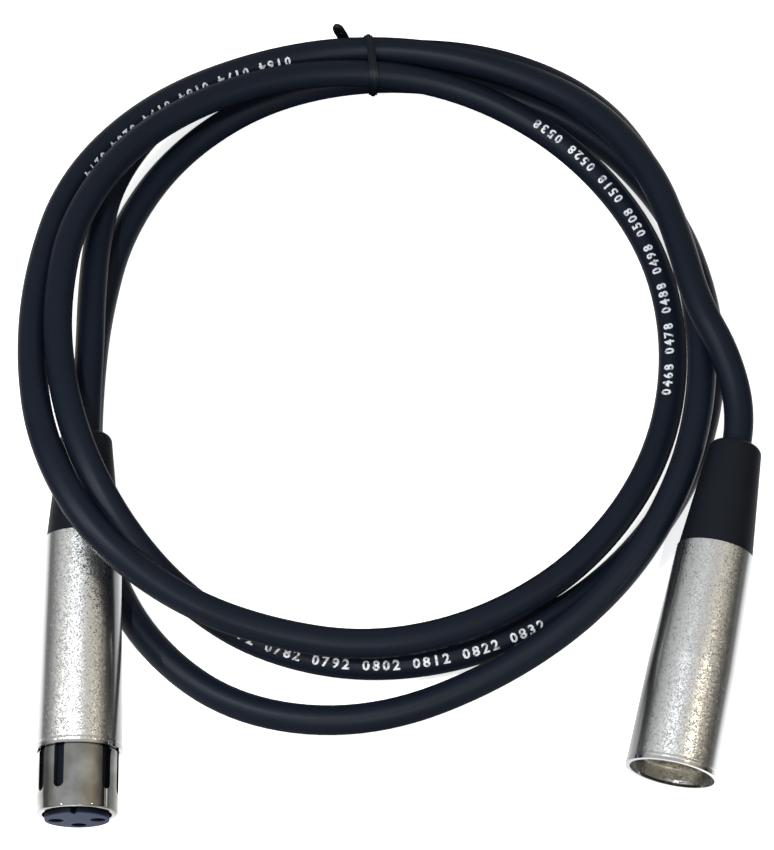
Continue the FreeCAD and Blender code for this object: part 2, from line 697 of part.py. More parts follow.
def check_and_write():
    """Every object must be sound before anything is written."""
    for item in doc.Objects:
        bad = [state for state in item.State if state in ("Invalid", "Error")]
        if bad:
            raise RuntimeError(f"{item.Name}: {bad}")
    os.makedirs("parts", exist_ok=True)
    pieces = [item for item in doc.Objects if item.TypeId in ("PartDesign::Body", "Part::Feature")]
    for piece in pieces:
        shape = piece.Shape
        if shape.isNull() or not shape.isValid() or shape.Volume <= 0:
            raise RuntimeError(f"{piece.Label}: shape is not sound")
        shape.exportStep(f"parts/{piece.Label}.step")
    print(f"{len(pieces)} pieces written")


female_frame = connector_frame(size("female_x"), size("female_y"), size("nose_diameter") / 2,
                               size("nose_round"), size("female_heading"), size("female_tilt"))
male_frame = connector_frame(size("male_x"), size("male_y"), float(sheet.evalExpression(MALE_FRONT)),
                             0.0, size("male_heading"), size("male_tilt"))
make_female(female_frame)
make_male(male_frame)
make_coil(female_frame, male_frame)
make_tie()
doc.recompute()
check_and_write()
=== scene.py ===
"""Looks of a microphone cable that lies coiled on a pale table, around its fixed frame."""

import bisect
import json
import math

import bmesh
import bpy
from mathutils import Matrix, Vector

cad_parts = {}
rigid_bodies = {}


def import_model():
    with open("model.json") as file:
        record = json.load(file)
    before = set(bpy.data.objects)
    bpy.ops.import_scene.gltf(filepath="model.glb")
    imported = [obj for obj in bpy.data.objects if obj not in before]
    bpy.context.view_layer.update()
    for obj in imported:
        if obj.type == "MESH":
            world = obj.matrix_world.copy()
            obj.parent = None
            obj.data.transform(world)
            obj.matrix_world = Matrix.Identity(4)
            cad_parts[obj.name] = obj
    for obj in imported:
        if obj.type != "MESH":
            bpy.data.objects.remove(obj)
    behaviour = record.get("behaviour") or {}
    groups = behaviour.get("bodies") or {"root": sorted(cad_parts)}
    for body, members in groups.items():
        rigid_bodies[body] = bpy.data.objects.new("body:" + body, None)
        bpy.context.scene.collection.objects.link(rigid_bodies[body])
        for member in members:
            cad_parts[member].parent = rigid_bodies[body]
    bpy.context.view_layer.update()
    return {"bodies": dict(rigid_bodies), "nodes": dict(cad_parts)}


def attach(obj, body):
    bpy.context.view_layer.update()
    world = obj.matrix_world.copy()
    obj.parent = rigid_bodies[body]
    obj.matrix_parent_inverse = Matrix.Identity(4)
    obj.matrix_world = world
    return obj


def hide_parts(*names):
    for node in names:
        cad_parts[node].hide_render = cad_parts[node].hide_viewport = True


bl_info = {
    "name": "Coiled microphone cable",
    "version": (1, 0, 0),
    "blender": (4, 5, 0),
    "location": "3D View > Sidebar > Cable",
    "description": "Dresses a coiled microphone cable with its plugs, tie and studio",
    "category": "Object",
}

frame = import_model()
MM = 0.001

# Where the coil's turns are measured from: bearings run clockwise from the tie, seen from above
COIL_CENTRE = (-6.46, 65.97)

# Each plug's frame: its mouth's centre in mm, then the way it points and leans, in degrees
FEMALE_PLACE = (-63.26, -38.33, 7.734, -1.0, 7.0)
MALE_PLACE = (51.74, -30.43, 9.149, 13.0, 6.0)

# The cable's way, as bearing, reach from the coil's centre and height of its centreline
LEAD_IN = (
    (264, 58.6, 17.8), (277, 59.4, 14.6), (291, 63.2, 11.2), (306, 70.4, 8.2),
    (323, 76.2, 5.8), (341, 78.4, 4.2),
)
FIRST_TURN = (
    (0, 78.2, 4.2), (20, 79.6, 6.4), (40, 77.8, 10.4), (60, 71.2, 13.7), (80, 68.6, 14.8),
    (100, 69.8, 14.8), (120, 72.4, 13.4), (140, 75.6, 9.8), (160, 78.4, 5.4),
    (180, 83.8, 3.0), (198, 85.6, 3.0), (214, 81.0, 3.0), (230, 72.8, 3.0),
    (246, 64.8, 3.0), (262, 60.2, 3.0), (280, 59.6, 3.0), (300, 63.2, 3.0),
    (320, 67.2, 3.0), (340, 70.3, 3.4),
)
SECOND_TURN = (
    (0, 71.7, 3.6), (20, 73.4, 3.2), (40, 75.2, 3.0), (60, 74.6, 3.0), (78, 73.0, 3.0),
    (96, 72.4, 3.0), (116, 72.0, 3.0), (138, 71.8, 3.0), (160, 72.0, 3.0), (180, 72.2, 3.0),
    (198, 71.8, 5.0), (212, 71.6, 13.5), (224, 70.7, 23.0), (238, 68.0, 27.6),
    (254, 65.4, 26.6), (272, 65.4, 22.0), (292, 68.2, 18.6), (314, 69.8, 16.2),
    (338, 69.2, 13.0),
)
THIRD_TURN = (
    (0, 68.5, 10.4), (20, 67.7, 8.6), (42, 66.4, 7.4), (66, 65.5, 7.0), (90, 64.4, 7.0),
    (114, 65.0, 7.0), (138, 66.4, 7.6), (160, 68.6, 9.2), (180, 70.8, 10.6),
    (198, 71.8, 13.6), (212, 74.9, 20.8), (226, 76.4, 27.2), (242, 73.9, 28.2),
    (260, 70.9, 22.6), (280, 71.4, 16.8), (300, 75.2, 13.8), (320, 75.5, 12.6),
    (341, 74.7, 10.8),
)
LAST_STRETCH = (
    (0, 74.6, 10.6), (20, 73.4, 12.6), (40, 72.9, 16.0), (58, 69.7, 19.2), (74, 66.6, 21.2),
    (88, 67.0, 21.6), (97, 73.2, 19.8),
)

# The printed stretches of the jacket: distances along it in mm where each starts and ends,
# and how far its print is turned there from the jacket's top, in degrees
PRINTED = (
    (60, 140, 165, 175), (265, 345, 180, 170), (500, 580, 165, 165), (786, 872, -26, -22),
    (938, 1020, 150, 160), (1080, 1164, 17, 20), (1225, 1300, 165, 150),
    (1404, 1468, 52, 44), (1524, 1590, 170, 170),
)

# The four strands that the tie holds, from the outer one on the table round to the outer one
# on top: each one's y and the height of its middle
TIED_STRANDS = ((143.22, 4.43), (136.56, 3.53), (133.32, 10.54), (139.39, 10.84))
STRAND_RADIUS = 3.0

# Where the tie's band crosses the strands: its x at a y, and how far it leans per mm of y
TIE_X = -7.3
TIE_Y = 139.5
TIE_LEAN = 0.123

# A number stands every so many mm along each printed stretch, and lies so far above the jacket
NUMBER_STEP = 10
INK_LIFT = 0.03

# How far behind a plug's mouth the polished rim of its shell ends, in mm. The nose makes up
# most of it on the female plug.
FEMALE_RIM_END = 12.75
MALE_RIM_END = 0.45

# How many facets of the shells' blasted grain lie along a metre
BLAST_GRAIN = 4600

# The middle between the plugs, and how far each lies from it, in metres along x
PLUGS_MIDDLE = -0.004
PLUG_FROM_MIDDLE = 0.059

# The small square lamps, all sizes in mm: name, place, what it looks at and colour
LAMP_SIZE = 6
LAMPS = (
    ("cool_lamp", (-140, -70, 450), (-10, 20, 0), (0.86, 0.93, 1.0)),
    ("warm_lamp", (165, -30, 220), (50, -10, 0), (1.0, 0.9, 0.68)),
    ("side_lamp", (-235, -60, 230), (-60, -10, 0), (1.0, 0.97, 0.88)),
    ("front_lamp", (40, -330, 400), (20, 0, 0), (1.0, 0.97, 0.92)),
)
CAMERA_PLACE = (-3.46, -222.3, 513.9)
CAMERA_AIM = (-3.46, 50.97, 0)


def plug_frame(place):
    """The matrix, in metres, of a plug whose local Z runs to its cable and local Y is up."""
    x, y, height, heading, tilt = place
    turn = math.radians(heading)
    lean = math.radians(tilt)
    axis = Vector((
        math.sin(turn) * math.cos(lean), math.cos(turn) * math.cos(lean), math.sin(lean),
    ))
    up = (Vector((0, 0, 1)) - axis * axis.z).normalized()
    side = up.cross(axis)
    matrix = Matrix((side, up, axis)).transposed().to_4x4()
    matrix.translation = Vector((x, y, height)) * MM
    return matrix


FEMALE = plug_frame(FEMALE_PLACE)
MALE = plug_frame(MALE_PLACE)


# Finishes

def finish(name):
    """A new material, its node tree and its surface shader."""
    material = bpy.data.materials.new(name)
    material.use_nodes = True
    tree = material.node_tree
    return material, tree, tree.nodes["Principled BSDF"]


def feed(tree, socket, value):
    """Gives a socket its value, or links it to the output that is its value."""
    if isinstance(value, bpy.types.NodeSocket):
        tree.links.new(value, socket)
    else:
        socket.default_value = value


def add_node(tree, kind, settings=None, **inputs):
    """A node with its settings and the values or links of its named inputs."""
    node = tree.nodes.new(kind)
    for name, value in (settings or {}).items():
        setattr(node, name, value)
    for name, value in inputs.items():
        feed(tree, node.inputs[name.replace("_", " ")], value)
    return node


def number(tree, operation, *parts):
    """What an operation makes of numbers."""
    node = add_node(tree, "ShaderNodeMath", {"operation": operation})
    for socket, part in zip(node.inputs, parts):
        feed(tree, socket, part)
    return node.outputs[0]


def vector(tree, operation, *parts):
    """What an operation makes of vectors: a number for a product, or else a vector."""
    node = add_node(tree, "ShaderNodeVectorMath", {"operation": operation})
    for socket, part in zip(node.inputs, parts):
        feed(tree, socket, part)
    return node.outputs["Value" if operation == "DOT_PRODUCT" else "Vector"]


def noise(tree, scale, detail=2.0, roughness=0.5):
    """A noise over the object's own coordinates, with its scale per metre."""
    spot = add_node(tree, "ShaderNodeTexCoord").outputs["Object"]
    node = add_node(tree, "ShaderNodeTexNoise", Vector=spot, Scale=scale, Detail=detail,
                    Roughness=roughness)
    return node.outputs["Fac"]


def spread(tree, factor, low, high, start=0.0, end=1.0):
    """The factor taken from between start and end to between low and high."""
    node = add_node(tree, "ShaderNodeMapRange", Value=factor)
    node.inputs["From Min"].default_value = start
    node.inputs["From Max"].default_value = end
    node.inputs["To Min"].default_value = low
    node.inputs["To Max"].default_value = high
    return node.outputs["Result"]


def blend_colours(tree, factor, first, second):
    """A colour between two by a factor."""
    node = add_node(tree, "ShaderNodeMix", {"data_type": "RGBA"})
    tree.links.new(factor, node.inputs[0])
    for socket, colour in ((node.inputs[6], first), (node.inputs[7], second)):
        feed(tree, socket, colour if isinstance(colour, bpy.types.NodeSocket) else (*colour, 1))
    return node.outputs[2]


def shaded(colour):
    """The darker tone of a moulded colour."""
    return tuple(0.7 * part for part in colour)


def bump(tree, shader, height, strength, distance):
    """A relief of a height pattern on the shader, its distance in mm."""
    node = add_node(tree, "ShaderNodeBump", Height=height, Strength=strength,
                    Distance=distance * MM)
    tree.links.new(node.outputs["Normal"], shader.inputs["Normal"])


def from_mouth(tree, frame_of_plug):
    """Distance in mm behind a plug's mouth, measured along the plug."""
    spot = add_node(tree, "ShaderNodeTexCoord").outputs["Object"]
    offset = vector(tree, "SUBTRACT", spot, frame_of_plug.translation)
    return vector(tree, "DOT_PRODUCT", offset, frame_of_plug.col[2].to_3d() * (1 / MM))


def blasted_nickel(settings, name, frame_of_plug, rim_end):
    """Nickel plate over a coarse blast that glitters, left polished along the front rim."""
    material, tree, shader = finish(name)
    shader.inputs["Metallic"].default_value = 1.0
    blasted = spread(tree, from_mouth(tree, frame_of_plug), 0.0, 1.0, rim_end, rim_end + 0.25)
    patches = noise(tree, 90, 3)
    colour = blend_colours(tree, patches, settings.shell_colour, settings.shell_shade)
    tree.links.new(colour, shader.inputs["Base Color"])
    on_sides = spread(tree, noise(tree, 1500, 2), 0.17, 0.24)
    rough = add_node(tree, "ShaderNodeMapRange", Value=on_top(tree), To_Min=on_sides, To_Max=0.32)
    evenness = add_node(tree, "ShaderNodeMapRange", Value=blasted, To_Min=0.06,
                        To_Max=rough.outputs[0])
    tree.links.new(evenness.outputs[0], shader.inputs["Roughness"])
    facets(tree, shader, blasted, settings.facet_tilt)
    return material


def on_top(tree):
    """1 where a surface looks up, 0 on its sides, between the two on the shoulders."""
    normal = add_node(tree, "ShaderNodeNewGeometry").outputs["Normal"]
    upward = add_node(tree, "ShaderNodeSeparateXYZ", Vector=normal).outputs["Z"]
    return spread(tree, upward, 0.0, 1.0, 0.62, 0.88)


def facets(tree, shader, amount, tilt):
    """Tiny flat facets, each leaning its own way and a few of them much, on what looks up."""
    spot = add_node(tree, "ShaderNodeTexCoord").outputs["Object"]
    cells = add_node(tree, "ShaderNodeTexVoronoi", Vector=spot, Scale=BLAST_GRAIN)
    lean = vector(tree, "SUBTRACT", cells.outputs["Color"], (0.5, 0.5, 0.5))
    chance = add_node(tree, "ShaderNodeSeparateColor", Color=cells.outputs["Color"])
    steepness = spread(tree, number(tree, "POWER", chance.outputs["Green"], 2.0),
                       0.25 * math.tan(tilt), 2 * math.tan(tilt))
    for factor in (on_top(tree), amount):
        steepness = number(tree, "MULTIPLY", steepness, factor)
    slant = add_node(tree, "ShaderNodeVectorMath", {"operation": "SCALE"}, Scale=steepness)
    tree.links.new(lean, slant.inputs[0])
    normal = add_node(tree, "ShaderNodeNewGeometry").outputs["Normal"]
    tilted = vector(tree, "ADD", normal, slant.outputs["Vector"])
    tree.links.new(vector(tree, "NORMALIZE", tilted), shader.inputs["Normal"])


def polished_nickel(settings):
    """Bright plating, a little wavy, with the haze of handling."""
    material, tree, shader = finish("polished_nickel")
    shader.inputs["Metallic"].default_value = 1.0
    haze = spread(tree, noise(tree, 190, 3), 0.0, 1.0, 0.38, 0.62)
    colour = blend_colours(tree, haze, settings.nose_colour, settings.nose_shade)
    tree.links.new(colour, shader.inputs["Base Color"])
    tree.links.new(spread(tree, haze, 0.03, 0.07), shader.inputs["Roughness"])
    bump(tree, shader, noise(tree, 260), 0.5, 0.06)
    return material


def moulded(name, colour, shade, rough, grain_scale, grain, shine=0.5):
    """A moulded plastic or rubber with a fine grain and a slow change of tone."""
    material, tree, shader = finish(name)
    shader.inputs["Specular IOR Level"].default_value = shine
    tone = blend_colours(tree, noise(tree, 70, 3), colour, shade)
    tree.links.new(tone, shader.inputs["Base Color"])
    fine = noise(tree, grain_scale, 3, 0.6)
    tree.links.new(spread(tree, fine, rough - 0.06, rough + 0.08), shader.inputs["Roughness"])
    bump(tree, shader, fine, grain, 0.03)
    return material


def insert_plastic_with_painted_shade(settings):
    """The female insert's plastic: bluish on its face, and near black behind it, where painted
    shade stands in for the dark inside the nose.
    """
    material = moulded("insert_plastic_deep", settings.insert_colour,
                       shaded(settings.insert_colour), 0.5, 2600, 0.1, 0.05)
    tree = material.node_tree
    base = tree.nodes["Principled BSDF"].inputs["Base Color"]
    face = base.links[0].from_socket
    # Painted shade: behind its front face the plastic blends to near black, standing in for the
    # shade inside the nose.
    inward = spread(tree, from_mouth(tree, FEMALE), 0.0, 1.0, -1.0, -0.7)
    painted_shade_colour = (0.0025, 0.0038, 0.0075)
    tree.links.new(blend_colours(tree, inward, face, painted_shade_colour), base)
    return material


def plain_metal(name, colour, rough):
    """A small metal part with a light haze."""
    material, tree, shader = finish(name)
    shader.inputs["Metallic"].default_value = 1.0
    shader.inputs["Base Color"].default_value = (*colour, 1)
    haze = noise(tree, 500, 2)
    tree.links.new(spread(tree, haze, rough - 0.05, rough + 0.08), shader.inputs["Roughness"])
    bump(tree, shader, haze, 0.08, 0.02)
    return material


def worn_ink(settings):
    """Pale print that is worn thin in places."""
    material, tree, shader = finish("jacket_ink")
    worn = spread(tree, noise(tree, 1100, 3), 0.0, 0.8, 0.52, 0.66)
    colour = blend_colours(tree, worn, settings.ink_colour, settings.jacket_colour)
    tree.links.new(colour, shader.inputs["Base Color"])
    shader.inputs["Roughness"].default_value = 0.55
    return material


def put(material, *nodes):
    """Gives frame nodes that material in all their slots."""
    for name in nodes:
        for holder in frame["nodes"][name].material_slots:
            holder.material = material


def place(name, data, material, slot):
    """A finished piece in the scene that rides on the cable's one body."""
    piece = bpy.data.objects.new(name, data)
    bpy.context.scene.collection.objects.link(piece)
    piece.data.materials.clear()
    piece.data.materials.append(material)
    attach(piece, "root" if "root" in frame["bodies"] else next(iter(frame["bodies"])))
    return piece


# Sizes and colours a user may change

class StudioSettings(bpy.types.PropertyGroup):
    focal_length: bpy.props.FloatProperty(
        name="Focal length", description="Lens of the camera",
        default=117.1, min=20.0, unit="CAMERA")
    cool_lamp: bpy.props.FloatProperty(
        name="Cool lamp", description="Power of the bluish lamp on the left",
        default=1.5, min=0.0, unit="POWER")
    warm_lamp: bpy.props.FloatProperty(
        name="Warm lamp", description="Power of the golden lamp on the right",
        default=0.07, min=0.0, unit="POWER")
    side_lamp: bpy.props.FloatProperty(
        name="Side lamp", description="Power of the lamp beside the female plug",
        default=0.35, min=0.0, unit="POWER")
    front_lamp: bpy.props.FloatProperty(
        name="Front lamp", description="Power of the lamp in front, below the camera",
        default=0.8, min=0.0, unit="POWER")
    room_light: bpy.props.FloatProperty(
        name="Room light", description="Brightness of the even light from all round",
        default=0.78, min=0.0)
    table_colour: bpy.props.FloatVectorProperty(
        name="Table", description="Colour of the table",
        default=(0.8, 0.8, 0.8), subtype="COLOR", min=0.0, max=1.0)


class CableSettings(bpy.types.PropertyGroup):
    diameter: bpy.props.FloatProperty(
        name="Diameter", description="Outside diameter of the jacket",
        default=0.006, min=0.002, unit="LENGTH")
    jacket_colour: bpy.props.FloatVectorProperty(
        name="Jacket", description="Colour of the jacket",
        default=(0.0038, 0.0063, 0.0125), subtype="COLOR", min=0.0, max=1.0)
    jacket_shade: bpy.props.FloatVectorProperty(
        name="Jacket shade", description="Darker tone of the jacket",
        default=(0.0024, 0.0044, 0.0095), subtype="COLOR", min=0.0, max=1.0)
    ink_colour: bpy.props.FloatVectorProperty(
        name="Print", description="Colour of the numbers on the jacket",
        default=(0.50, 0.52, 0.55), subtype="COLOR", min=0.0, max=1.0)
    number_height: bpy.props.FloatProperty(
        name="Number height", description="Height of the numbers on the jacket",
        default=0.0021, min=0.0005, max=0.004, unit="LENGTH")
    number_pitch: bpy.props.FloatProperty(
        name="Figure pitch", description="Distance from one figure to the next",
        default=0.002, min=0.0005, max=0.0024, unit="LENGTH")
    tie_colour: bpy.props.FloatVectorProperty(
        name="Tie", description="Colour of the twisted tie",
        default=(0.0040, 0.0055, 0.0090), subtype="COLOR", min=0.0, max=1.0)
    tie_width: bpy.props.FloatProperty(
        name="Tie width", description="Width of the tie's flat band",
        default=0.0017, min=0.0005, unit="LENGTH")


class PlugSettings(bpy.types.PropertyGroup):
    shell_colour: bpy.props.FloatVectorProperty(
        name="Shell", description="Colour of the blasted shells",
        default=(0.78, 0.77, 0.75), subtype="COLOR", min=0.0, max=1.0)
    shell_shade: bpy.props.FloatVectorProperty(
        name="Shell shade", description="Darker tone of the blasted shells",
        default=(0.70, 0.69, 0.67), subtype="COLOR", min=0.0, max=1.0)
    facet_tilt: bpy.props.FloatProperty(
        name="Facet tilt", description="Steepest lean of the facets of the shells' blasted grain",
        default=math.radians(19), min=0.0, max=math.radians(40), unit="ROTATION")
    nose_colour: bpy.props.FloatVectorProperty(
        name="Nose", description="Colour of the polished nose",
        default=(0.56, 0.56, 0.55), subtype="COLOR", min=0.0, max=1.0)
    nose_shade: bpy.props.FloatVectorProperty(
        name="Nose shade", description="Darker tone of the polished nose",
        default=(0.36, 0.35, 0.31), subtype="COLOR", min=0.0, max=1.0)
    boot_colour: bpy.props.FloatVectorProperty(
        name="Boots", description="Colour of the rubber boots",
        default=(0.0040, 0.0056, 0.0090), subtype="COLOR", min=0.0, max=1.0)
    insert_colour: bpy.props.FloatVectorProperty(
        name="Inserts", description="Colour of the plastic inserts",
        default=(0.029, 0.040, 0.080), subtype="COLOR", min=0.0, max=1.0)


# The cable

def route():
    """The control points of the cable's one line, from the female boot to the male boot."""
    points = [FEMALE @ Vector((0, 0, z * MM)) for z in (78.2, 86.2)]
    for bearing, reach, height in (*LEAD_IN, *FIRST_TURN, *SECOND_TURN, *THIRD_TURN,
                                   *LAST_STRETCH):
        angle = math.radians(bearing)
        points.append(Vector((
            COIL_CENTRE[0] + reach * math.sin(angle),
            COIL_CENTRE[1] + reach * math.cos(angle),
            height,
        )) * MM)
    points += [MALE @ Vector((0, 0, z * MM)) for z in (77.0, 70.0)]
    return points


def cable_line(name, thickness):
    """The cable's smooth line as a curve."""
    curve = bpy.data.curves.new(name, "CURVE")
    curve.dimensions = "3D"
    spline = curve.splines.new("NURBS")
    points = route()
    spline.points.add(len(points) - 1)
    for point, position in zip(spline.points, points):
        point.co = (*position, 1.0)
    spline.order_u = 3
    spline.use_endpoint_u = True
    spline.resolution_u = 10
    curve.bevel_depth = thickness / 2
    curve.bevel_resolution = 6
    curve.use_fill_caps = True
    return curve


def mesh_of(data):
    """A curve or text as a mesh of its own."""
    holder = bpy.data.objects.new("to_mesh", data)
    mesh = bpy.data.meshes.new_from_object(holder)
    bpy.data.objects.remove(holder)
    return mesh


class CableWalk:
    """Places along the cable, by their distance from the female boot in metres."""

    def __init__(self):
        line = cable_line("cable_walk", 0.0)
        mesh = mesh_of(line)
        self.points = [vertex.co.copy() for vertex in mesh.vertices]
        bpy.data.meshes.remove(mesh)
        bpy.data.curves.remove(line)
        self.travelled = [0.0]
        for before, after in zip(self.points, self.points[1:]):
            self.travelled.append(self.travelled[-1] + (after - before).length)
        self.length = self.travelled[-1]

    def at(self, distance):
        """The place and the direction of the cable at a distance along it."""
        distance = min(max(distance, 0.0), self.length)
        index = min(max(bisect.bisect(self.travelled, distance), 1), len(self.points) - 1)
        start, end = self.points[index - 1], self.points[index]
        share = (distance - self.travelled[index - 1]) / (end - start).length
        return start.lerp(end, share), (end - start).normalized()


class CABLE_OT_jacket(bpy.types.Operator):
    """Lay the cable's three and a half turns"""
    bl_idname = "cable_coil.jacket"
    bl_label = "Cable"

    def execute(self, context):
        settings = context.scene.cable_settings
        rubber = moulded("jacket", settings.jacket_colour, settings.jacket_shade,
                         0.45, 2200, 0.22, 0.12)
        put(rubber, "cable_coil", "female_cable_tail", "male_cable_tail")
        cable = place("coiled_cable", cable_line("coiled_cable", settings.diameter),
                      rubber, "jacket")
        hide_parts("cable_coil")
        return {"FINISHED"}


def figure_mesh(figure, height):
    """One figure, flat and centred, cut across so that it can bend round the jacket."""
    text = bpy.data.curves.new("figure", "FONT")
    text.body = figure
    text.resolution_u = 2
    text.offset = 0.03
    mesh = mesh_of(text)
    bpy.data.curves.remove(text)
    shape = bmesh.new()
    shape.from_mesh(mesh)
    low = Vector(min(v.co[axis] for v in shape.verts) for axis in (0, 1, 2))
    high = Vector(max(v.co[axis] for v in shape.verts) for axis in (0, 1, 2))
    bmesh.ops.translate(shape, verts=shape.verts[:], vec=-(low + high) / 2)
    tall = height / (high.y - low.y)
    bmesh.ops.scale(shape, verts=shape.verts[:], vec=(tall * 1.05, tall, 1.0))
    for level in (-0.25, 0.0, 0.25):
        everything = shape.verts[:] + shape.edges[:] + shape.faces[:]
        bmesh.ops.bisect_plane(shape, geom=everything, dist=1e-6,
                               plane_co=(0, level * height, 0), plane_no=(0, 1, 0))
    shape.to_mesh(mesh)
    shape.free()
    return mesh


class CABLE_OT_numbers(bpy.types.Operator):
    """Print the running length in millimetres along the jacket"""
    bl_idname = "cable_coil.numbers"
    bl_label = "Numbers"

    def execute(self, context):
        settings = context.scene.cable_settings
        walk = CableWalk()
        radius = settings.diameter / 2
        figures = {f: figure_mesh(f, settings.number_height) for f in "0123456789"}
        shape = bmesh.new()
        for start, end, first_turn, last_turn in PRINTED:
            margin = NUMBER_STEP // 2
            for middle in range(start + margin, end - margin + 1, NUMBER_STEP):
                label = f"{round(walk.length / MM) - middle:04d}"
                turn = first_turn + (last_turn - first_turn) * (middle - start) / (end - start)
                for index, figure in enumerate(label):
                    shift = (index - (len(label) - 1) / 2) * settings.number_pitch
                    already = len(shape.verts)
                    shape.from_mesh(figures[figure])
                    shape.verts.ensure_lookup_table()
                    for vertex in shape.verts[already:]:
                        centre, way = walk.at(middle * MM - shift - vertex.co.x)
                        top = (Vector((0, 0, 1)) - way * way.z).normalized()
                        inward = way.cross(top)
                        angle = math.radians(turn) + vertex.co.y / radius
                        around = top * math.cos(angle) + inward * math.sin(angle)
                        vertex.co = centre + around * (radius + INK_LIFT * MM)
        mesh = bpy.data.meshes.new("jacket_numbers")
        shape.to_mesh(mesh)
        shape.free()
        for used in figures.values():
            bpy.data.meshes.remove(used)
        place("jacket_numbers", mesh, worn_ink(settings), "jacket")
        return {"FINISHED"}


def band_line(clearance, steps):
    """Points of the line that a tight band takes round the tied strands, all at x = 0."""
    radius = STRAND_RADIUS + clearance
    points = []
    count = len(TIED_STRANDS)
    for index, (y, z) in enumerate(TIED_STRANDS):
        before = TIED_STRANDS[index - 1]
        after = TIED_STRANDS[(index + 1) % count]
        first = math.atan2(z - before[1], y - before[0]) + math.pi / 2
        last = math.atan2(after[1] - z, after[0] - y) + math.pi / 2
        sweep = (first - last) % (2 * math.pi)
        for step in range(steps + 1):
            angle = first - sweep * step / steps
            points.append(Vector((
                0, y + radius * math.cos(angle), z + radius * math.sin(angle))))
    return points


def tie_band(shape, width):
    """The flat band with the ridge of its wire, drawn round the four strands."""
    ring = [shape.verts.new(point * MM) for point in band_line(0.06, 7)]
    edges = [shape.edges.new(pair) for pair in zip(ring, ring[1:] + ring[:1])]
    middle = Vector((0, 138.1, 7.3)) * MM
    flat = width * 0.36
    flank = width * 0.05
    ridge = width * 0.18
    ridge_rise = 0.28
    thickness = 0.3
    bmesh.ops.translate(shape, verts=ring, vec=(-width / 2, 0, 0))
    for stride, rise in ((flat, 0.0), (flank, ridge_rise), (ridge, 0.0),
                         (flank, -ridge_rise), (flat, 0.0)):
        grown = bmesh.ops.extrude_edge_only(shape, edges=edges)["geom"]
        new_verts = [part for part in grown if isinstance(part, bmesh.types.BMVert)]
        edges = [part for part in grown if isinstance(part, bmesh.types.BMEdge)
                 and all(end in new_verts for end in part.verts)]
        bmesh.ops.translate(shape, verts=new_verts, vec=(stride, 0, 0))
        for vertex in new_verts:
            outward = vertex.co - middle
            outward.x = 0
            vertex.co += outward.normalized() * rise * MM
    bmesh.ops.recalc_face_normals(shape, faces=shape.faces[:])
    bmesh.ops.solidify(shape, geom=shape.faces[:], thickness=-thickness * MM)
    bmesh.ops.recalc_face_normals(shape, faces=shape.faces[:])
    for vertex in shape.verts:
        vertex.co.x += (TIE_X - TIE_LEAN * (vertex.co.y / MM - TIE_Y)) * MM


def tie_ends(shape):
    """The band's two ends, twisted round each other behind the coil and up into a flat eye."""
    root = Vector((-8.7, 147.0, 2.9))
    elbow = Vector((-12.8, 147.4, 3.2))
    tip = Vector((-14.9, 148.0, 8.4))
    side = Vector((0, 1, 0))
    line = bpy.data.curves.new("tie_ends", "CURVE")
    line.dimensions = "3D"
    places = []
    steps = 10
    at_elbow = 0.4
    at_closing = 0.9
    half_apart = 0.68
    for step in range(2 * steps + 1):
        leg = step / steps
        share = leg if leg <= 1 else 2 - leg
        if share < at_elbow:
            start, end, way = root, elbow, share / at_elbow
        else:
            start, end, way = elbow, tip, (share - at_elbow) / (1 - at_elbow)
        other = (end - start).normalized().cross(side)
        twist = 90 - 360 * max(0.0, at_elbow - share) / at_elbow
        angle = math.radians(twist + (0 if leg <= 1 else 180))
        apart = half_apart
        if share >= at_closing:
            apart *= (1 - share) / (1 - at_closing)
        off = side * math.cos(angle) + other * math.sin(angle)
        places.append(start.lerp(end, way) + off * apart)
    spline = line.splines.new("NURBS")
    spline.points.add(len(places) - 1)
    for point, position in zip(spline.points, places):
        point.co = (*(position * MM), 1.0)
    spline.order_u = 4
    spline.use_endpoint_u = True
    spline.resolution_u = 4
    line.bevel_depth = 0.62 * MM
    line.bevel_resolution = 3
    line.use_fill_caps = True
    mesh = mesh_of(line)
    shape.from_mesh(mesh)
    bpy.data.curves.remove(line)
    bpy.data.meshes.remove(mesh)


class CABLE_OT_tie(bpy.types.Operator):
    """Twist the tie round the four strands at the coil's far side"""
    bl_idname = "cable_coil.tie"
    bl_label = "Tie"

    def execute(self, context):
        settings = context.scene.cable_settings
        shape = bmesh.new()
        tie_band(shape, settings.tie_width)
        tie_ends(shape)
        mesh = bpy.data.meshes.new("wire_tie")
        shape.to_mesh(mesh)
        shape.free()
        mesh.shade_smooth()
        mesh.set_sharp_from_angle(angle=math.radians(40))
        plastic = moulded("tie_plastic", settings.tie_colour, shaded(settings.tie_colour),
                          0.45, 1800, 0.1, 0.2)
        put(plastic, "twist_tie")
        tie = place("wire_tie", mesh, plastic, "tie_plastic")
        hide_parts("twist_tie")
        return {"FINISHED"}


class CABLE_OT_declare(bpy.types.Operator):
    """Take the cable's first point and do nothing more with it"""
    bl_idname = "cable_coil.declare"
    bl_label = "Cable's facts"

    def execute(self, context):
        tuple(route()[0])
        return {"FINISHED"}


# The plugs

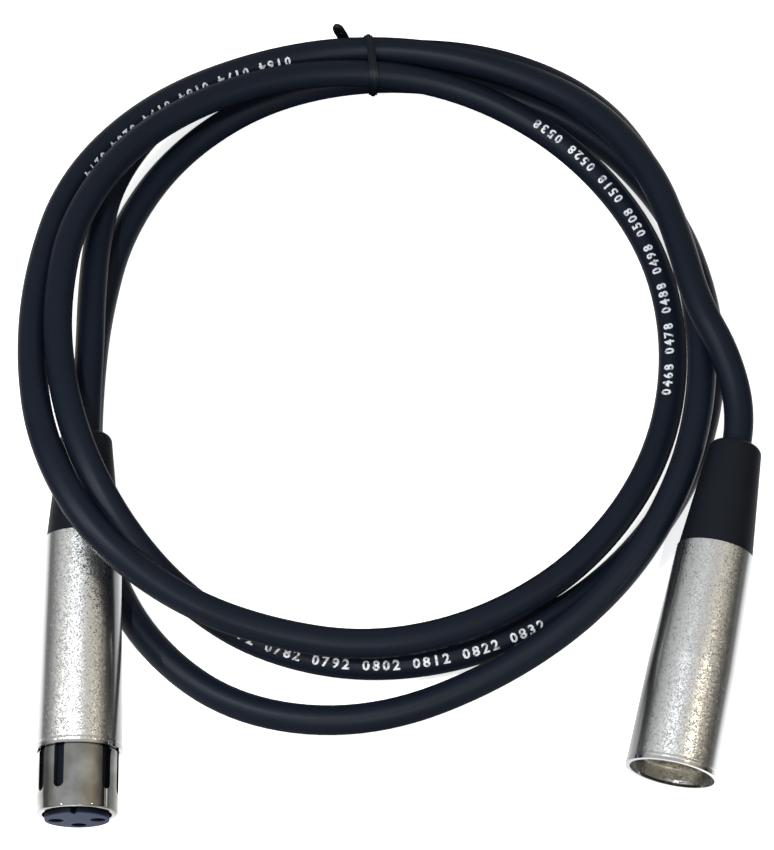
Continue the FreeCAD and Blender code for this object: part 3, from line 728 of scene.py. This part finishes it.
class CABLE_OT_plugs(bpy.types.Operator):
    """Finish the shells, nose, inserts, contacts and boots"""
    bl_idname = "cable_coil.plugs"
    bl_label = "Plugs"

    def execute(self, context):
        settings = context.scene.plug_settings
        put(blasted_nickel(settings, "blasted_nickel", FEMALE, FEMALE_RIM_END), "female_shell")
        put(blasted_nickel(settings, "blasted_nickel_male", MALE, MALE_RIM_END), "male_shell")
        put(polished_nickel(settings), "female_nose")
        put(moulded("insert_plastic", settings.insert_colour, shaded(settings.insert_colour),
                    0.38, 2600, 0.1), "male_insert")
        put(insert_plastic_with_painted_shade(settings), "female_insert")
        put(moulded("boot_rubber", settings.boot_colour, shaded(settings.boot_colour),
                    0.5, 3000, 0.3, 0.12), "female_boot", "male_boot")
        put(plain_metal("contact_metal", (0.75, 0.66, 0.42), 0.22), *[
            f"{kind}_{contact}" for kind in ("female_socket", "male_pin")
            for contact in (1, 2, 3)])
        put(plain_metal("ring_steel", (0.5, 0.5, 0.5), 0.3), "female_ring", "male_ring")
        put(moulded("clamp_plastic", (0.05, 0.05, 0.05), (0.035, 0.035, 0.035), 0.45, 2000,
                    0.1), "female_clamp", "male_clamp")
        for contact, colour in ((1, (0.35, 0.3, 0.24)), (2, (0.45, 0.03, 0.02)),
                                (3, (0.7, 0.7, 0.68))):
            core = moulded(f"core_{contact}", colour, colour, 0.4, 2000, 0.05)
            put(core, f"female_core_{contact}", f"male_core_{contact}")
        return {"FINISHED"}


# The stage

def aimed(name, data, position, target):
    """A lamp or camera in the scene that looks at a point, places in mm."""
    holder = bpy.data.objects.new(name, data)
    bpy.context.scene.collection.objects.link(holder)
    holder.location = Vector(position) * MM
    direction = Vector(target) * MM - holder.location
    holder.rotation_euler = direction.to_track_quat("-Z", "Y").to_euler()
    return holder


def ray_kinds(tree):
    """Whether a ray comes from the camera, and whether from a glossy or clear surface."""
    path = add_node(tree, "ShaderNodeLightPath").outputs
    mirrored = number(tree, "MAXIMUM", path["Is Glossy Ray"], path["Is Transmission Ray"])
    return path["Is Camera Ray"], mirrored


def choose(tree, kind, first, second):
    """A number: the first, or the second for the rays of that kind."""
    node = add_node(tree, "ShaderNodeMix", {"data_type": "FLOAT"})
    for socket, value in zip((node.inputs[0], *node.inputs[2:4]), (kind, first, second)):
        feed(tree, socket, value)
    return node.outputs[0]


def table_finish(settings):
    """Pale matt table, near white to the camera. Metal mirrors it as a glow with no shadow on it,
    a painted reflection: bright beside the plugs, dim between them and black towards the coil's
    right half."""
    material, tree, shader = finish("table_top")
    shader.inputs["Base Color"].default_value = (*settings.table_colour, 1)
    shader.inputs["Roughness"].default_value = 0.7
    shader.inputs["Emission Color"].default_value = (0.97, 0.985, 1, 1)
    camera_ray, mirrored_ray = ray_kinds(tree)
    tree.links.new(choose(tree, camera_ray, 0.0, 0.72), shader.inputs["Emission Strength"])
    spot = add_node(tree, "ShaderNodeTexCoord").outputs["Object"]
    x = add_node(tree, "ShaderNodeSeparateXYZ", Vector=spot).outputs["X"]
    from_middle = number(tree, "ABSOLUTE", number(tree, "SUBTRACT", x, PLUGS_MIDDLE))
    from_plug = number(tree, "ABSOLUTE", number(tree, "SUBTRACT", from_middle, PLUG_FROM_MIDDLE))
    to_rear_right = vector(tree, "DOT_PRODUCT", spot, (1.0, 1.0, 0.0))
    dim_painted_reflection = spread(tree, to_rear_right, 0.35, 0.0, 0.014, 0.032)
    sideways = add_node(tree, "ShaderNodeMapRange", Value=from_middle, From_Min=0.035,
                        From_Max=0.062, To_Min=dim_painted_reflection)
    # Painted reflection: to mirrored rays the table glows by place, not by the light on it,
    # brightest beside each plug.
    painted_reflection_glow = number(tree, "MULTIPLY", sideways.outputs[0],
                  spread(tree, from_plug, 1.5, 0.15, 0.02, 0.07))
    near = add_node(tree, "ShaderNodeEmission", Color=(0.96, 0.98, 1, 1), Strength=painted_reflection_glow)
    both = add_node(tree, "ShaderNodeMixShader", Fac=mirrored_ray)
    tree.links.new(shader.outputs[0], both.inputs[1])
    tree.links.new(near.outputs[0], both.inputs[2])
    tree.links.new(both.outputs[0], tree.nodes["Material Output"].inputs["Surface"])
    material.cycles.emission_sampling = "NONE"
    return material


def studio_world(settings):
    """A room that is white behind the object, even on it, and dim low down in its metal."""
    world = bpy.data.worlds.new("studio")
    world.use_nodes = True
    tree = world.node_tree
    camera_ray, mirrored_ray = ray_kinds(tree)
    way = add_node(tree, "ShaderNodeTexCoord").outputs["Generated"]
    parts = add_node(tree, "ShaderNodeSeparateXYZ", Vector=way).outputs
    lift = vector(tree, "DOT_PRODUCT", way, (-0.15, 0.0, 1.0))
    along = number(tree, "ABSOLUTE", parts["Y"])
    height = number(tree, "ADD", lift, spread(tree, along, 0.0, 0.5, 0.38, 0.9))
    ceiling = spread(tree, height, 0.03, 0.54, 0.03, 0.62)
    strength = choose(tree, camera_ray,
                      choose(tree, mirrored_ray, settings.room_light, ceiling), 1.0)
    tint = blend_colours(tree, spread(tree, parts["X"], 0.0, 1.0, -0.1, 0.6),
                         (0.94, 0.97, 1.0), (1.0, 0.94, 0.82))
    shade = blend_colours(tree, mirrored_ray, (1, 1, 1), tint)
    background = tree.nodes["Background"]
    tree.links.new(shade, background.inputs["Color"])
    tree.links.new(strength, background.inputs["Strength"])
    return world


class CABLE_OT_stage(bpy.types.Operator):
    """Set up the table, the lamps and the camera"""
    bl_idname = "cable_coil.stage"
    bl_label = "Stage"

    def execute(self, context):
        settings = context.scene.studio_settings
        shape = bmesh.new()
        bmesh.ops.create_grid(shape, x_segments=1, y_segments=1, size=4.0)
        mesh = bpy.data.meshes.new("table_top")
        shape.to_mesh(mesh)
        shape.free()
        table = bpy.data.objects.new("table_top", mesh)
        context.scene.collection.objects.link(table)
        mesh.materials.append(table_finish(settings))
        context.scene.world = studio_world(settings)
        for name, position, target, colour in LAMPS:
            lamp = bpy.data.lights.new(name, "AREA")
            lamp.color = colour
            lamp.size = LAMP_SIZE * MM
            lamp.energy = getattr(settings, name)
            aimed(name, lamp, position, target)

        camera = bpy.data.cameras.new("camera")
        camera.lens = settings.focal_length
        camera.sensor_width = 36
        camera.sensor_fit = "AUTO"
        camera.clip_start = 0.01
        context.scene.camera = aimed("camera", camera, CAMERA_PLACE, CAMERA_AIM)
        context.scene.view_settings.view_transform = "Standard"
        return {"FINISHED"}


class CABLE_PT_panel(bpy.types.Panel):
    """The cable's pieces in the sidebar"""
    bl_idname = "CABLE_PT_panel"
    bl_label = "Coiled cable"
    bl_space_type = "VIEW_3D"
    bl_region_type = "UI"
    bl_category = "Cable"

    def draw(self, context):
        for operator in OPERATORS:
            self.layout.operator(operator.bl_idname)


OPERATORS = (CABLE_OT_jacket, CABLE_OT_numbers, CABLE_OT_tie, CABLE_OT_declare,
             CABLE_OT_plugs, CABLE_OT_stage)
CLASSES = (StudioSettings, CableSettings, PlugSettings, *OPERATORS, CABLE_PT_panel)


def register():
    """Makes the settings, the operators and the panel known to Blender."""
    for kind in CLASSES:
        bpy.utils.register_class(kind)
    bpy.types.Scene.studio_settings = bpy.props.PointerProperty(type=StudioSettings)
    bpy.types.Scene.cable_settings = bpy.props.PointerProperty(type=CableSettings)
    bpy.types.Scene.plug_settings = bpy.props.PointerProperty(type=PlugSettings)


def unregister():
    """Takes them away again."""
    del bpy.types.Scene.studio_settings
    del bpy.types.Scene.cable_settings
    del bpy.types.Scene.plug_settings
    for kind in reversed(CLASSES):
        bpy.utils.unregister_class(kind)


def main():
    """Makes the settings and operators known and dresses the cable."""
    register()
    bpy.ops.cable_coil.jacket()
    bpy.ops.cable_coil.numbers()
    bpy.ops.cable_coil.tie()
    bpy.ops.cable_coil.declare()
    bpy.ops.cable_coil.plugs()
    bpy.ops.cable_coil.stage()


if __name__ == "__main__":
    main()
